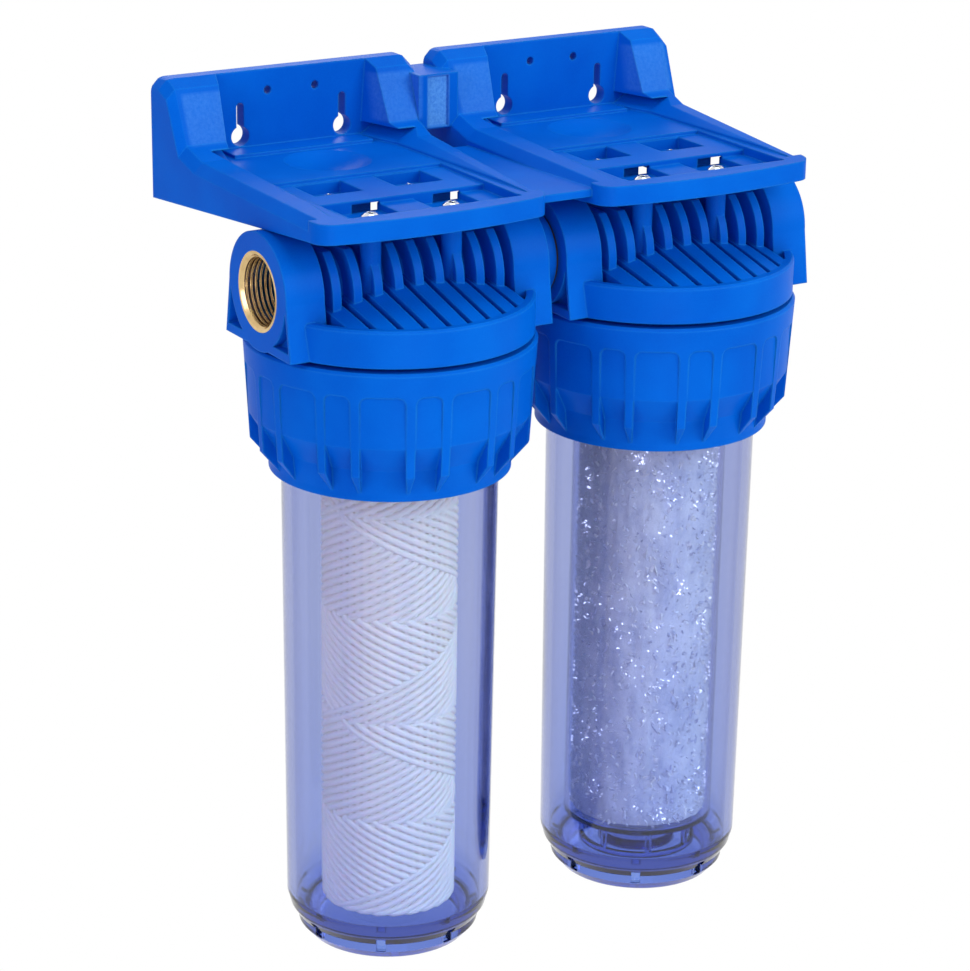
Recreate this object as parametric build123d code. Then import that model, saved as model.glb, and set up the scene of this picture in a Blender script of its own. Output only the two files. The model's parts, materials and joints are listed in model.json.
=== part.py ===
from build123d import *
import math
import os

# Duplex water filter: two filter units side by side under one wall bracket.
# Millimetres. +Z is up, +X runs along the wall to the right, +Y runs into the wall.
# The origin lies on the wall face, midway between the units, level with the ends of the
# keyhole slots, where the wall screws carry the bracket.
# Each unit is drawn about its own axis, with z = 0 on the seats of the four bracket screws,
# and is then moved to its place. A "drop" is a depth below those seats.

# Places of the units
AXIS_OUT = 100.0
SEAT_DROP = 28.0
OVERRUN = 5.0

# Containers and cartridges, which the bowls and heads are made round
CART_L = 246.0
GASKET_T = 2.0
GASKET_W = 7.6
BOX_R = 36.3
BOX_WALL = 2.0
BOX_FOOT_H = 16.0
BOX_FLOOR_T = 2.4
BOX_CAP_T = 7.0
BOX_CAP_LIP = 5.0
BOX_CAP_FLOOR_T = 2.0
BOX_FOOT_INSET = 7.7
BOX_FOOT_WALL = 2.2
FOOT_POSTS = 8
FOOT_POST_W = 3.6
FOOT_RAIL = 2.6
PIPE_R = 6.5
PIPE_WALL = 1.3
CHARGE_PLAY = 0.3
CHARGE_TOP_GAP = 12.0
CORE_T = 1.6
CORE_HOLE_R = 1.75
CORE_HOLE_ROWS = 14
CORE_HOLE_ANGLES = 4
STRING_R = 31.5
CORD_R = 1.0
CORD_GAP = 0.5
CORD_BED = 0.2
CORD_PASSES = 10
CORD_TURNS = 24
CORD_END_IN = 4.0
CORD_BEND_SHARE = 0.0333
CORD_SPANS = 9

# Brass inserts, one inch pipe thread
PIPE_MAJOR_R = 16.62
PIPE_PITCH = 2.309
PIPE_DEPTH = 1.479
PIPE_ROUND_R = 0.5
PIPE_MOUTH = 1.4
INSERT_WALL = 3.0
INSERT_STEP = 1.7
INSERT_FACE_T = 2.0
INSERT_COVER = 1.2
INSERT_GROOVE = 0.9

# Bowl: radii outwards from the container
WATER_GAP = 8.5
BOWL_WALL = 4.7
BOWL_FOOT_WALL = 4.3
BOWL_TAPER = 1.7
BOWL_FLANGE_W = 4.1
BOWL_FLANGE_T = 7.5
BOWL_TOP_GAP = 0.2
BOWL_PLAY = 0.3
# Bowl: foot, from its inner floor
RIDGE_H = 5.0
RIDGE_W = 5.0
BOWL_FLOOR_ROUND = 7.0
BOWL_SIDE_UP = 7.0
BOWL_KNEE_IN = 1.4
BOWL_KNEE_UP = 1.5
BOWL_SHOULDER_IN = 4.2
BOWL_SHOULDER_DOWN = 3.0
BOWL_LUG_IN = 1.2
BOWL_LUG_DOWN = 7.5
BOWL_RIM_IN = 3.8
BOWL_RIM_DOWN = 12.0
BOWL_RIM_T = 5.0
BOWL_BASE_T = 5.0
NOTCH_COUNT = 8
NOTCH_W = 4.4
NOTCH_DEPTH = 3.2
NOTCH_TURN_DEG = 11.0

# Bowl seal
SEAL_R = 1.5
SEAL_EDGE = 3.0
SEAL_PLAY = 0.1

# Coarse thread between the head's skirt and the ring nut
THREAD_PITCH = 6.0
THREAD_R = 1.3
THREAD_PLAY = 0.5
THREAD_START_DEG = 5.0
SKIRT_TURNS = 4.5
NUT_TURNS = 4
THREAD_SPANS = 4

# Head: skirt
SKIRT_L = 39.8
SKIRT_WALL = 8.5
SKIRT_CHAMFER = 3.4
# Head: water ways
WAY_R = 11.5
HUB_WALL = 4.0
ROOF_T = 9.5
INLET_DROP_R = 8.0
INLET_DROP_IN = 28.0
SPIGOT_BORE_R = 9.0
SPIGOT_WALL = 4.4
SPIGOT_PLAY = 0.6
SPIGOT_UP = 10.8
SPIGOT_FLANGE_T = 4.0
SPIGOT_NOSE = 6.0
# Head: port blocks
LINK_GAP = 9.2
PORT_BLOCK_L = 18.7
PORT_CLEAR = 4.38
PORT_RING_WALL = 5.8
PORT_LIP = 1.2
PORT_FLARE = 7.4
PORT_FRAME = 2.0
PORT_POCKET = 5.0
PORT_FOOT_T = 4.0
# Head: flange band, deck and fins
BAND_BELOW_PORT = 8.5
BAND_H = 16.5
BAND_WALL = 4.4
BAND_EDGE = 1.0
BAND_INSET = 1.3
DECK_RISE = 16.0
SLOT_DEPTH = 8.0
FIN_COUNT = 9
FIN_GAP = 2.8
FIN_SLIM = 3.4
FIN_ARCH_LOWER = 2.0
FIN_CREST_DROP = 12.5
FIN_STEP = 0.6
BOSS_WALL = 2.7

# Ring nut
NUT_GAP = 10.2
NUT_WALL = 7.1
NUT_TAPER = 2.7
NUT_TOP_GAP = 2.2
NUT_TOP_EDGE = 1.2
NUT_STEP_UP = 1.4
NUT_STEP_H = 3.6
NUT_EYE_PLAY = 0.6
NUT_FOOT_WALL = 4.8
NUT_FOOT_H = 3.4
NUT_SHOULDER_T = 15.95
NUT_CONE_H = 13.5
SHOULDER_PLAY = 0.05
PANEL_PAIRS = 10
PANEL_WIDE_DEG = 17.4
PANEL_NARROW_DEG = 10.2
PANEL_TURN_DEG = 21.5
PANEL_TOP_GAP = 10.8
PANEL_DEPTH = 1.3
PANEL_LOW_H = 27.0
PANEL_CONE_H = 14.5
PANEL_FLARE = 1.4
PANEL_CORNER_R = 3.4

# Link between the heads
NIPPLE_GRIP = 14.0
NIPPLE_FIT = 0.05
WASHER_T = 1.5
WASHER_R = 19.5
COLLAR_R = 20.5

# Bracket: tray outline, seen from above
BRIDGE_W = 11.2
TRAY_SHIFT = 2.4
TRAY_TAPER = 16.4
TRAY_FRONT = 44.0
TRAY_BULGE = 6.0
TRAY_CORNER_R = 9.0
TRAY_WALL = 3.4
# Bracket: heights, and depths out from the wall
BACK_TOP = 44.5
BACK_BOTTOM = 11.0
BACK_CORNER_R = 7.0
BACK_T = 7.0
PAD_TOP_T = 7.0
PAD_TOP_FALL = 3.5
PAD_SLOPE_L = 10.0
PAD_RISE = 4.5
RIM_SLOPE_L = 14.0
RIM_RISE = 5.0
LIP_DROP = 1.5
SIDE_DROP = 3.9
SHOULDER_W = 4.4
SHOULDER_H = 4.6
FLOOR_TOP = 7.5
FLOOR_T = 2.6
# Bracket: the open middle of each tray
PAD_W = 29.4
SIDE_W = 22.4
RIM_W = 8.7
RECESS_MID_OUT = 22.0
RECESS_DRAFT_DEG = 4.0
BEVEL_INSET = 2.0
BEVEL_DRAFT_DEG = 58.0
DISH_R = 46.0
DISH_DEPTH = 4.6
DISH_BEHIND = 58.0
LEDGE_OUT = 13.0
LEDGE_H = 1.6
# Bracket: sunken pan round the screws, lowest in front
PAN_HALF_W = 43.0
PAN_FRONT = 39.5
PAN_BACK = 30.0
PAN_TOP = 3.2
STEP_TOP = 5.8
PAN_T = 1.6
# Bracket: screw cups
CUP_L = 24.0
CUP_W = 21.0
CUP_SHIFT_X = 1.5
CUP_WALL = 2.4
CUP_FLOOR_T = 3.5
WINDOW_W = 14.0
# Bracket: joining web and strip
WEB_TOP = 37.4
WEB_BOTTOM = 11.5
WEB_T = 24.0
WEB_SKIN = 3.0
WEB_PAD_IN = 1.0
WEB_PAD_DEPTH = 1.2
STRIP_TOP = 5.2
STRIP_T = 3.4
STRIP_BACK_GAP = 14.0
STRIP_FRONT = 36.0
# Bracket: wall holes
KEYHOLE_SPACING = 53.0
KEYHOLE_R = 4.6
KEYHOLE_DROP = 13.7
SLOT_R = 1.9
PILOT_SPACING = 24.6
PILOT_UP = 34.6
PILOT_R = 1.9

# Bracket screws
SCREW_DX = 40.8
SCREW_DY = 35.8
SCREW_HEAD_R = 4.2
SCREW_HEAD_H = 2.6
SCREW_HEAD_RIM = 1.4
SCREW_HEAD_FLAT_R = 2.6
SCREW_R = 1.95
SCREW_L = 18.0
SCREW_CLEAR = 0.3
CROSS_L = 5.0
CROSS_W = 1.1
CROSS_DEPTH = 1.5

# Sizes that follow: radii, from the container outwards
BOX_FOOT_R = BOX_R - BOX_FOOT_INSET
BOWL_BORE_R = BOX_R + WATER_GAP
BOWL_NECK_R = BOWL_BORE_R + BOWL_WALL
BOWL_FOOT_R = BOWL_NECK_R - BOWL_TAPER
BOWL_SHOULDER_R = BOWL_FOOT_R - BOWL_SHOULDER_IN
BOWL_LUG_R = BOWL_SHOULDER_R - BOWL_LUG_IN
BOWL_RIM_R = BOWL_LUG_R - BOWL_RIM_IN
BOWL_FLANGE_R = BOWL_NECK_R + BOWL_FLANGE_W
SEAL_RING_R = BOWL_FLANGE_R - SEAL_EDGE
SKIRT_R = BOWL_FLANGE_R + SKIRT_CHAMFER
SKIRT_BORE_R = SKIRT_R - SKIRT_WALL
NUT_EYE_R = BOWL_NECK_R + NUT_EYE_PLAY
NUT_FOOT_R = NUT_EYE_R + NUT_FOOT_WALL
NUT_BORE_R = SKIRT_R + THREAD_R + THREAD_PLAY
NUT_R = NUT_BORE_R + NUT_WALL
NUT_WAIST_R = NUT_R - NUT_TAPER
BAND_R = NUT_R - BAND_INSET
DECK_R = BAND_R - BAND_WALL
HUB_R = WAY_R + HUB_WALL
SPIGOT_R = SPIGOT_BORE_R + SPIGOT_WALL
CORE_BORE_R = SPIGOT_R + SPIGOT_PLAY
GASKET_R = SPIGOT_R + GASKET_W
BOSS_R = SCREW_R + BOSS_WALL
INSERT_R = PIPE_MAJOR_R + INSERT_WALL
INSERT_FACE_R = INSERT_R - INSERT_STEP
PORT_RING_R = INSERT_R + PORT_RING_WALL
PORT_ARCH_R = PORT_RING_R + PORT_LIP
FIN_ARCH_R = PORT_ARCH_R - FIN_STEP
# Sizes that follow: widths
PITCH = 2 * NUT_R + NUT_GAP
PORT_FACE = (PITCH - LINK_GAP) / 2
PORT_FOOT_W = 2 * PORT_ARCH_R + PORT_FLARE
FIN_FIELD = 2 * (PORT_FACE - PORT_BLOCK_L)
FIN_PITCH = (FIN_FIELD - FIN_GAP) / FIN_COUNT
FIN_T = FIN_PITCH - FIN_GAP
INSERT_L = PORT_BLOCK_L - INSERT_COVER
TRAY_BACK_W = PITCH - BRIDGE_W
TRAY_FRONT_W = TRAY_BACK_W - TRAY_TAPER
RECESS_BACK_W = TRAY_BACK_W - 2 * PAD_W
RECESS_MID_W = TRAY_BACK_W - 2 * SIDE_W
RECESS_FRONT_W = TRAY_FRONT_W - 2 * RIM_W
HALF_BACK = TRAY_BACK_W / 2
HALF_FRONT = TRAY_FRONT_W / 2
PAD_TOP_OUT = BACK_T + PAD_TOP_T
PAD_FOOT_OUT = PAD_TOP_OUT + PAD_SLOPE_L
RIM_BACK_OUT = PAD_FOOT_OUT + RIM_SLOPE_L
# Sizes that follow: heights and drops
FLOOR_UNDER = FLOOR_TOP - FLOOR_T
RIM_BACK_TOP = FLOOR_TOP + RIM_RISE
PAD_FOOT_TOP = RIM_BACK_TOP + PAD_RISE
PORT_DROP = PORT_ARCH_R + PORT_CLEAR
FIN_ARCH_DROP = PORT_DROP + FIN_ARCH_LOWER
BAND_DROP = PORT_DROP + BAND_BELOW_PORT
BAND_BOTTOM = -BAND_DROP - BAND_H
DECK_TOP = -BAND_DROP + DECK_RISE
ROOF_DROP = PORT_DROP + WAY_R + ROOF_T
SKIRT_DROP = SKIRT_L - BAND_BOTTOM
BOWL_TOP_DROP = SKIRT_DROP + BOWL_TOP_GAP
FLANGE_UNDER = -BOWL_TOP_DROP - BOWL_FLANGE_T
SEAL_FACE = -SKIRT_DROP + SPIGOT_UP
CART_TOP = SEAL_FACE - GASKET_T
CART_BOTTOM = CART_TOP - CART_L
BOWL_FLOOR = CART_BOTTOM - RIDGE_H
BOX_FLOOR = BOWL_FLOOR + BOX_FOOT_H
NUT_TOP = BAND_BOTTOM - NUT_TOP_GAP
NUT_STEP = -SKIRT_DROP + NUT_STEP_UP
NUT_SHOULDER = FLANGE_UNDER - SHOULDER_PLAY
NUT_FOOT = NUT_SHOULDER - NUT_SHOULDER_T
PANEL_TOP = NUT_TOP - PANEL_TOP_GAP
SKIRT_THREAD_FOOT = -SKIRT_DROP + SKIRT_CHAMFER + 2 * THREAD_R
NUT_THREAD_FOOT = SKIRT_THREAD_FOOT + THREAD_PITCH / 2

SIDES = {"left": -1, "right": 1}
SCREW_SIGNS = [(-1, 1), (-1, -1), (1, 1), (1, -1)]

os.makedirs("parts", exist_ok=True)


def place(shape, side):
    """Moves a shape from its unit's own frame to its place on the wall."""
    return Pos(SIDES[side] * PITCH / 2, -AXIS_OUT, -SEAT_DROP) * shape


def turned(points):
    """A solid of revolution about Z through (radius, height) points."""
    return revolve(Plane.XZ * make_face(Polyline(*points, close=True)), Axis.Z)


def prism_x(sketch, x0, x1):
    """A sketch drawn in (y, z), drawn out along X from x0 to x1."""
    return extrude(Plane.YZ.offset(x0) * sketch, x1 - x0)


def prism_z(sketch, z0, z1, draft=0.0):
    """A sketch drawn in (x, y), drawn up from z0 to z1; a draft widens it on the way."""
    return extrude(Plane.XY.offset(z0) * sketch, z1 - z0, taper=-draft)


def block(x0, x1, y0, y1, z0, z1):
    """A box between two corners."""
    centre = Pos((x0 + x1) / 2, (y0 + y1) / 2, (z0 + z1) / 2)
    return centre * Box(x1 - x0, y1 - y0, z1 - z0)


def rod_x(r, x0, x1, z):
    """A round bar along X."""
    return Pos((x0 + x1) / 2, 0, z) * Rot(0, 90, 0) * Cylinder(r, x1 - x0)


def rod_y(r, y0, y1, x, z):
    """A round bar along Y."""
    return Pos(x, (y0 + y1) / 2, z) * Rot(90, 0, 0) * Cylinder(r, y1 - y0)


def rod_z(r, z0, z1, x=0.0, y=0.0):
    """A round bar along Z."""
    return Pos(x, y, (z0 + z1) / 2) * Cylinder(r, z1 - z0)


def biarc(p0, t0, p1, t1):
    """Two tangent arcs from p0 along t0 to p1 along t1."""
    gap = p1 - p0
    spread = 2 * (1 - t0.dot(t1))
    push = gap.dot(t0 + t1)
    reach = gap.length ** 2 / (push + math.sqrt(push ** 2 + spread * gap.length ** 2))
    q0 = p0 + t0 * reach
    q1 = p1 - t1 * reach
    joint = (q0 + q1) * 0.5
    turn = (q1 - q0).normalized()
    return [TangentArc([p0, joint], tangent=t0), TangentArc([joint, p1], tangent=turn)]


def tube_along(arcs, r):
    """A round tube along a chain of lines and arcs."""
    track = [edge for arc in arcs for edge in arc.edges()]
    start = Plane(origin=track[0] @ 0, z_dir=track[0] % 0)
    return sweep(start * Circle(r), path=Wire(track))


def thread_bead(r, pitch, turns, bead_r, foot_z):
    """A round bead wound right-handed up a screw line, for a thread ridge or groove."""
    spans = int(THREAD_SPANS * turns)
    points = []
    headings = []
    for i in range(spans + 1):
        angle = 2 * math.pi * i / THREAD_SPANS
        points.append(Vector(r * math.cos(angle), r * math.sin(angle), pitch * i / THREAD_SPANS))
        rise = pitch / (2 * math.pi * r)
        headings.append(Vector(-math.sin(angle), math.cos(angle), rise).normalized())
    arcs = []
    for i in range(spans):
        arcs += biarc(points[i], headings[i], points[i + 1], headings[i + 1])
    return Pos(0, 0, foot_z) * Rot(0, 0, THREAD_START_DEG) * tube_along(arcs, bead_r)


def tray_plan(inset=0.0):
    """The tray's outline from above: wider at the wall, with a curved front edge."""
    back = HALF_BACK - inset
    front = HALF_FRONT - inset
    edge = -TRAY_FRONT + inset
    corners = [(-front, edge), (-back, AXIS_OUT), (back, AXIS_OUT), (front, edge)]
    sides = Polyline(*corners)
    nose = ThreePointArc((front, edge), (0, edge - TRAY_BULGE), (-front, edge))
    return Pos(-TRAY_SHIFT, 0) * make_face(sides.edges() + nose.edges())


def recess_plan(shrink=0.0):
    """The open middle of the tray, narrow at the wall and wide at the front."""
    wall_y = AXIS_OUT - BACK_T
    mid_y = wall_y - RECESS_MID_OUT
    front_y = -TRAY_FRONT + TRAY_WALL + OVERRUN
    back = RECESS_BACK_W / 2 - shrink
    mid = RECESS_MID_W / 2 - shrink
    front = RECESS_FRONT_W / 2 - shrink
    half = [(back, wall_y), (mid, mid_y), (front, front_y)]
    mirrored = [(-x, y) for x, y in reversed(half)]
    return make_face(Polyline(*half, *mirrored, close=True))


def tray_top():
    """The line of the tray's top edge from the wall to the front, as (y, z) points."""
    back = AXIS_OUT
    return [
        (back, BACK_TOP),
        (back - BACK_T, BACK_TOP),
        (back - PAD_TOP_OUT, BACK_TOP - PAD_TOP_FALL),
        (back - PAD_FOOT_OUT, PAD_FOOT_TOP),
        (back - RIM_BACK_OUT, RIM_BACK_TOP),
        (-TRAY_FRONT, FLOOR_TOP),
    ]


def tray_side():
    """The tray's outline from the side."""
    front = -TRAY_FRONT - TRAY_BULGE - OVERRUN
    bottom = [
        (front, FLOOR_TOP),
        (front, -LIP_DROP),
        (-TRAY_FRONT + TRAY_CORNER_R, -LIP_DROP),
        (0, -SIDE_DROP),
        (AXIS_OUT, -BACK_BOTTOM),
    ]
    return make_face(Polyline(*tray_top(), *bottom, close=True))


def shoulder_cuts():
    """Slanting cuts along both top side edges of the tray, one for each span of that edge."""
    lean = (HALF_BACK - HALF_FRONT) / (AXIS_OUT + TRAY_FRONT)
    fall = SHOULDER_H / SHOULDER_W
    points = tray_top()
    y, z = points.pop()
    y1, z1 = points[-1]
    stop = y + TRAY_CORNER_R
    points.append((stop, z + (z1 - z) * (stop - y) / (y1 - y)))
    cuts = []
    for side in (-1, 1):
        for (ya, za), (yb, zb) in zip(points[:-1], points[1:]):
            inner = HALF_BACK - lean * (AXIS_OUT - ya) - SHOULDER_W
            reach = SHOULDER_W + OVERRUN
            corners = [
                (side * (inner - OVERRUN), za + OVERRUN * fall),
                (side * (inner + reach), za - reach * fall),
                (side * (inner + reach), za + OVERRUN * fall),
            ]
            face = make_face(Polyline(*[(x - TRAY_SHIFT, ya, z) for x, z in corners], close=True))
            run = Vector(-side * lean * (ya - yb), yb - ya, zb - za)
            cuts.append(extrude(face, run.length, dir=run.normalized()))
    return cuts


def cup_centres():
    """The screw cups: where each stands, and which way its window faces."""
    places = []
    for sx, sy in SCREW_SIGNS:
        places.append((sx * SCREW_DX / 2 - CUP_SHIFT_X, sy * SCREW_DY / 2, sy))
    return places


def bracket_tray():
    """One unit's half of the bracket, about that unit's axis."""
    envelope = prism_z(tray_plan(), -BACK_BOTTOM - OVERRUN, BACK_TOP + OVERRUN)
    front_posts = envelope.edges().filter_by(Axis.Z).sort_by(Axis.Y)[:2]
    envelope = fillet(front_posts, TRAY_CORNER_R)
    half = HALF_BACK + TRAY_SHIFT + OVERRUN
    tray = envelope & prism_x(tray_side(), -half, half)
    back_view = Pos(-TRAY_SHIFT, 0) * RectangleRounded(TRAY_BACK_W, 2 * BACK_TOP, BACK_CORNER_R)
    tray &= extrude(Plane.XZ * back_view, AXIS_OUT + OVERRUN, both=True)
    for cut in shoulder_cuts():
        tray -= cut
    wall_y = AXIS_OUT - BACK_T
    before_wall = block(-half, half, -AXIS_OUT, wall_y, -AXIS_OUT, AXIS_OUT)
    tray -= prism_z(recess_plan(), FLOOR_TOP, BACK_TOP + OVERRUN, RECESS_DRAFT_DEG) & before_wall
    bevel = recess_plan(BEVEL_INSET)
    bevel_top = RIM_BACK_TOP + OVERRUN / 2
    tray -= prism_z(bevel, FLOOR_TOP, bevel_top, BEVEL_DRAFT_DEG) & before_wall
    tray -= prism_z(tray_plan(TRAY_WALL), -BACK_BOTTOM - OVERRUN, FLOOR_UNDER) & before_wall
    ledge = block(-RECESS_BACK_W / 2, RECESS_BACK_W / 2, wall_y - LEDGE_OUT, wall_y,
                  FLOOR_UNDER, FLOOR_TOP + LEDGE_H)
    tray += ledge
    dish_z = FLOOR_TOP + DISH_R - DISH_DEPTH
    dish_y = DISH_BEHIND
    shell = Pos(0, dish_y, dish_z) * Sphere(DISH_R + FLOOR_T)
    tray += shell & block(-DISH_R, DISH_R, -TRAY_FRONT, wall_y, -BACK_BOTTOM, FLOOR_UNDER)
    dish = Pos(0, dish_y, dish_z) * Sphere(DISH_R)
    tray -= dish & block(-DISH_R, DISH_R, -TRAY_FRONT, wall_y, 0, FLOOR_TOP)
    step_y = (CUP_W - SCREW_DY) / 2
    for y0, y1, top in ((-PAN_FRONT, step_y, PAN_TOP), (step_y - PAN_T, PAN_BACK, STEP_TOP)):
        tray += block(-PAN_HALF_W - PAN_T, PAN_HALF_W + PAN_T, y0 - PAN_T, y1 + PAN_T,
                      top - PAN_T, FLOOR_UNDER)
    for y0, y1, top in ((-PAN_FRONT, step_y, PAN_TOP), (step_y, PAN_BACK, STEP_TOP)):
        tray -= block(-PAN_HALF_W, PAN_HALF_W, y0, y1, top, FLOOR_TOP + OVERRUN)
    for x, y, facing in cup_centres():
        outer_l = CUP_L / 2 + CUP_WALL
        outer_w = CUP_W / 2 + CUP_WALL
        top = PAN_TOP if facing < 0 else STEP_TOP
        tray += block(x - outer_l, x + outer_l, y - outer_w, y + outer_w, -CUP_FLOOR_T, top)
    for x, y, facing in cup_centres():
        half_l = CUP_L / 2
        half_w = CUP_W / 2
        tray -= block(x - half_l, x + half_l, y - half_w, y + half_w, 0, FLOOR_TOP + OVERRUN)
        if facing < 0:
            tray -= block(x + half_l - WINDOW_W, x + half_l, y, y + half_w + OVERRUN, 0, STEP_TOP - PAN_T)
        else:
            tray -= block(x - half_l - OVERRUN, x, y - WINDOW_W / 2, y + WINDOW_W / 2, 0, STEP_TOP - PAN_T)
    for sx, sy in SCREW_SIGNS:
        hole = rod_z(SCREW_R + SCREW_CLEAR, -CUP_FLOOR_T - OVERRUN, OVERRUN)
        tray -= Pos(sx * SCREW_DX / 2, sy * SCREW_DY / 2, 0) * hole
    hang_z = SEAT_DROP
    for sign in (-1, 1):
        x = sign * KEYHOLE_SPACING / 2
        tray -= rod_y(KEYHOLE_R, wall_y - OVERRUN, AXIS_OUT + OVERRUN, x, hang_z - KEYHOLE_DROP)
        tray -= rod_y(SLOT_R, wall_y - OVERRUN, AXIS_OUT + OVERRUN, x, hang_z)
        tray -= block(x - SLOT_R, x + SLOT_R, wall_y - OVERRUN, AXIS_OUT + OVERRUN,
                      hang_z - KEYHOLE_DROP, hang_z)
        tray -= rod_y(PILOT_R, wall_y - OVERRUN, AXIS_OUT + OVERRUN, sign * PILOT_SPACING / 2, PILOT_UP)
    return tray


def bracket_bridge():
    """The web at the wall and the strip between the trays, about the middle of the bracket."""
    half = PITCH / 2 - HALF_BACK
    web = block(-half - OVERRUN, half + OVERRUN, AXIS_OUT - WEB_T, AXIS_OUT, WEB_BOTTOM, WEB_TOP)
    web -= block(-half, half, AXIS_OUT - WEB_T - OVERRUN, AXIS_OUT - WEB_T + WEB_PAD_DEPTH,
                 WEB_BOTTOM + WEB_PAD_IN, WEB_TOP - WEB_PAD_IN)
    web -= block(-half, half, AXIS_OUT - WEB_T + WEB_SKIN, AXIS_OUT + OVERRUN,
                 WEB_BOTTOM - OVERRUN, WEB_TOP - WEB_SKIN)
    back_y = AXIS_OUT - WEB_T - STRIP_BACK_GAP
    taper = (HALF_BACK - HALF_FRONT) / (AXIS_OUT + TRAY_FRONT)
    wide = PITCH / 2 - HALF_BACK + taper * (AXIS_OUT + STRIP_FRONT) + TRAY_WALL / 2
    narrow = half + taper * (AXIS_OUT - back_y) + TRAY_WALL / 2
    outline = [(-wide, -STRIP_FRONT), (-narrow, back_y), (narrow, back_y), (wide, -STRIP_FRONT)]
    strip = prism_z(make_face(Polyline(*outline, close=True)), STRIP_TOP - STRIP_T, STRIP_TOP)
    return Pos(-TRAY_SHIFT, -AXIS_OUT, -SEAT_DROP) * (web + strip)


def wall_bracket():
    """The whole bracket: two trays, the web and the strip in one moulding."""
    tray = bracket_tray()
    return place(tray, "left") + place(tray, "right") + bracket_bridge()


def bracket_screws():
    """Four pan-head screws that hold one head up against its tray."""
    head = turned([
        (0, 0),
        (SCREW_HEAD_R, 0),
        (SCREW_HEAD_R, SCREW_HEAD_RIM),
        (SCREW_HEAD_FLAT_R, SCREW_HEAD_H),
        (0, SCREW_HEAD_H),
    ])
    screw = head + rod_z(SCREW_R, -SCREW_L, 0)
    for turn in (0, 90):
        slot = Box(CROSS_L, CROSS_W, 2 * CROSS_DEPTH)
        screw -= Pos(0, 0, SCREW_HEAD_H) * Rot(0, 0, turn) * slot
    return [Pos(sx * SCREW_DX / 2, sy * SCREW_DY / 2, 0) * screw for sx, sy in SCREW_SIGNS]


def port_profile(arch_r, foot_half, foot_z):
    """A port block from its end: a round top over sides that widen to the foot."""
    top = Pos(0, -PORT_DROP) * Circle(arch_r)
    sides = [(-arch_r, -PORT_DROP), (-foot_half, foot_z), (foot_half, foot_z), (arch_r, -PORT_DROP)]
    return top + make_face(Polyline(*sides, close=True))


def port_blocks():
    """The two port blocks, with the open corners under each round port face."""
    inner = FIN_FIELD / 2
    outline = port_profile(PORT_ARCH_R, PORT_FOOT_W / 2, BAND_BOTTOM)
    inside = port_profile(PORT_ARCH_R - PORT_FRAME, PORT_FOOT_W / 2 - PORT_FRAME, BAND_BOTTOM + PORT_FOOT_T)
    inside -= Pos(0, -PORT_DROP) * Circle(PORT_RING_R)
    low_half = Pos(0, -PORT_DROP - PORT_ARCH_R) * Rectangle(PORT_FOOT_W, 2 * PORT_ARCH_R)
    corners = inside & low_half
    blocks = []
    for sign in (-1, 1):
        ends = sorted((sign * inner, sign * PORT_FACE))
        solid = prism_x(outline, ends[0], ends[1])
        mouth = sorted((sign * (PORT_FACE - PORT_POCKET), sign * (PORT_FACE + OVERRUN)))
        solid -= prism_x(corners, mouth[0], mouth[1])
        blocks.append(solid)
    return blocks[0] + blocks[1]


def fin_slabs(width):
    """Upright slices across the head, one for each fin."""
    first = -(FIN_COUNT - 1) / 2 * FIN_PITCH
    slabs = []
    for i in range(FIN_COUNT):
        x = first + i * FIN_PITCH
        slabs.append(block(x - width / 2, x + width / 2, -BAND_R, BAND_R, BAND_BOTTOM, 0))
    return slabs


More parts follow.
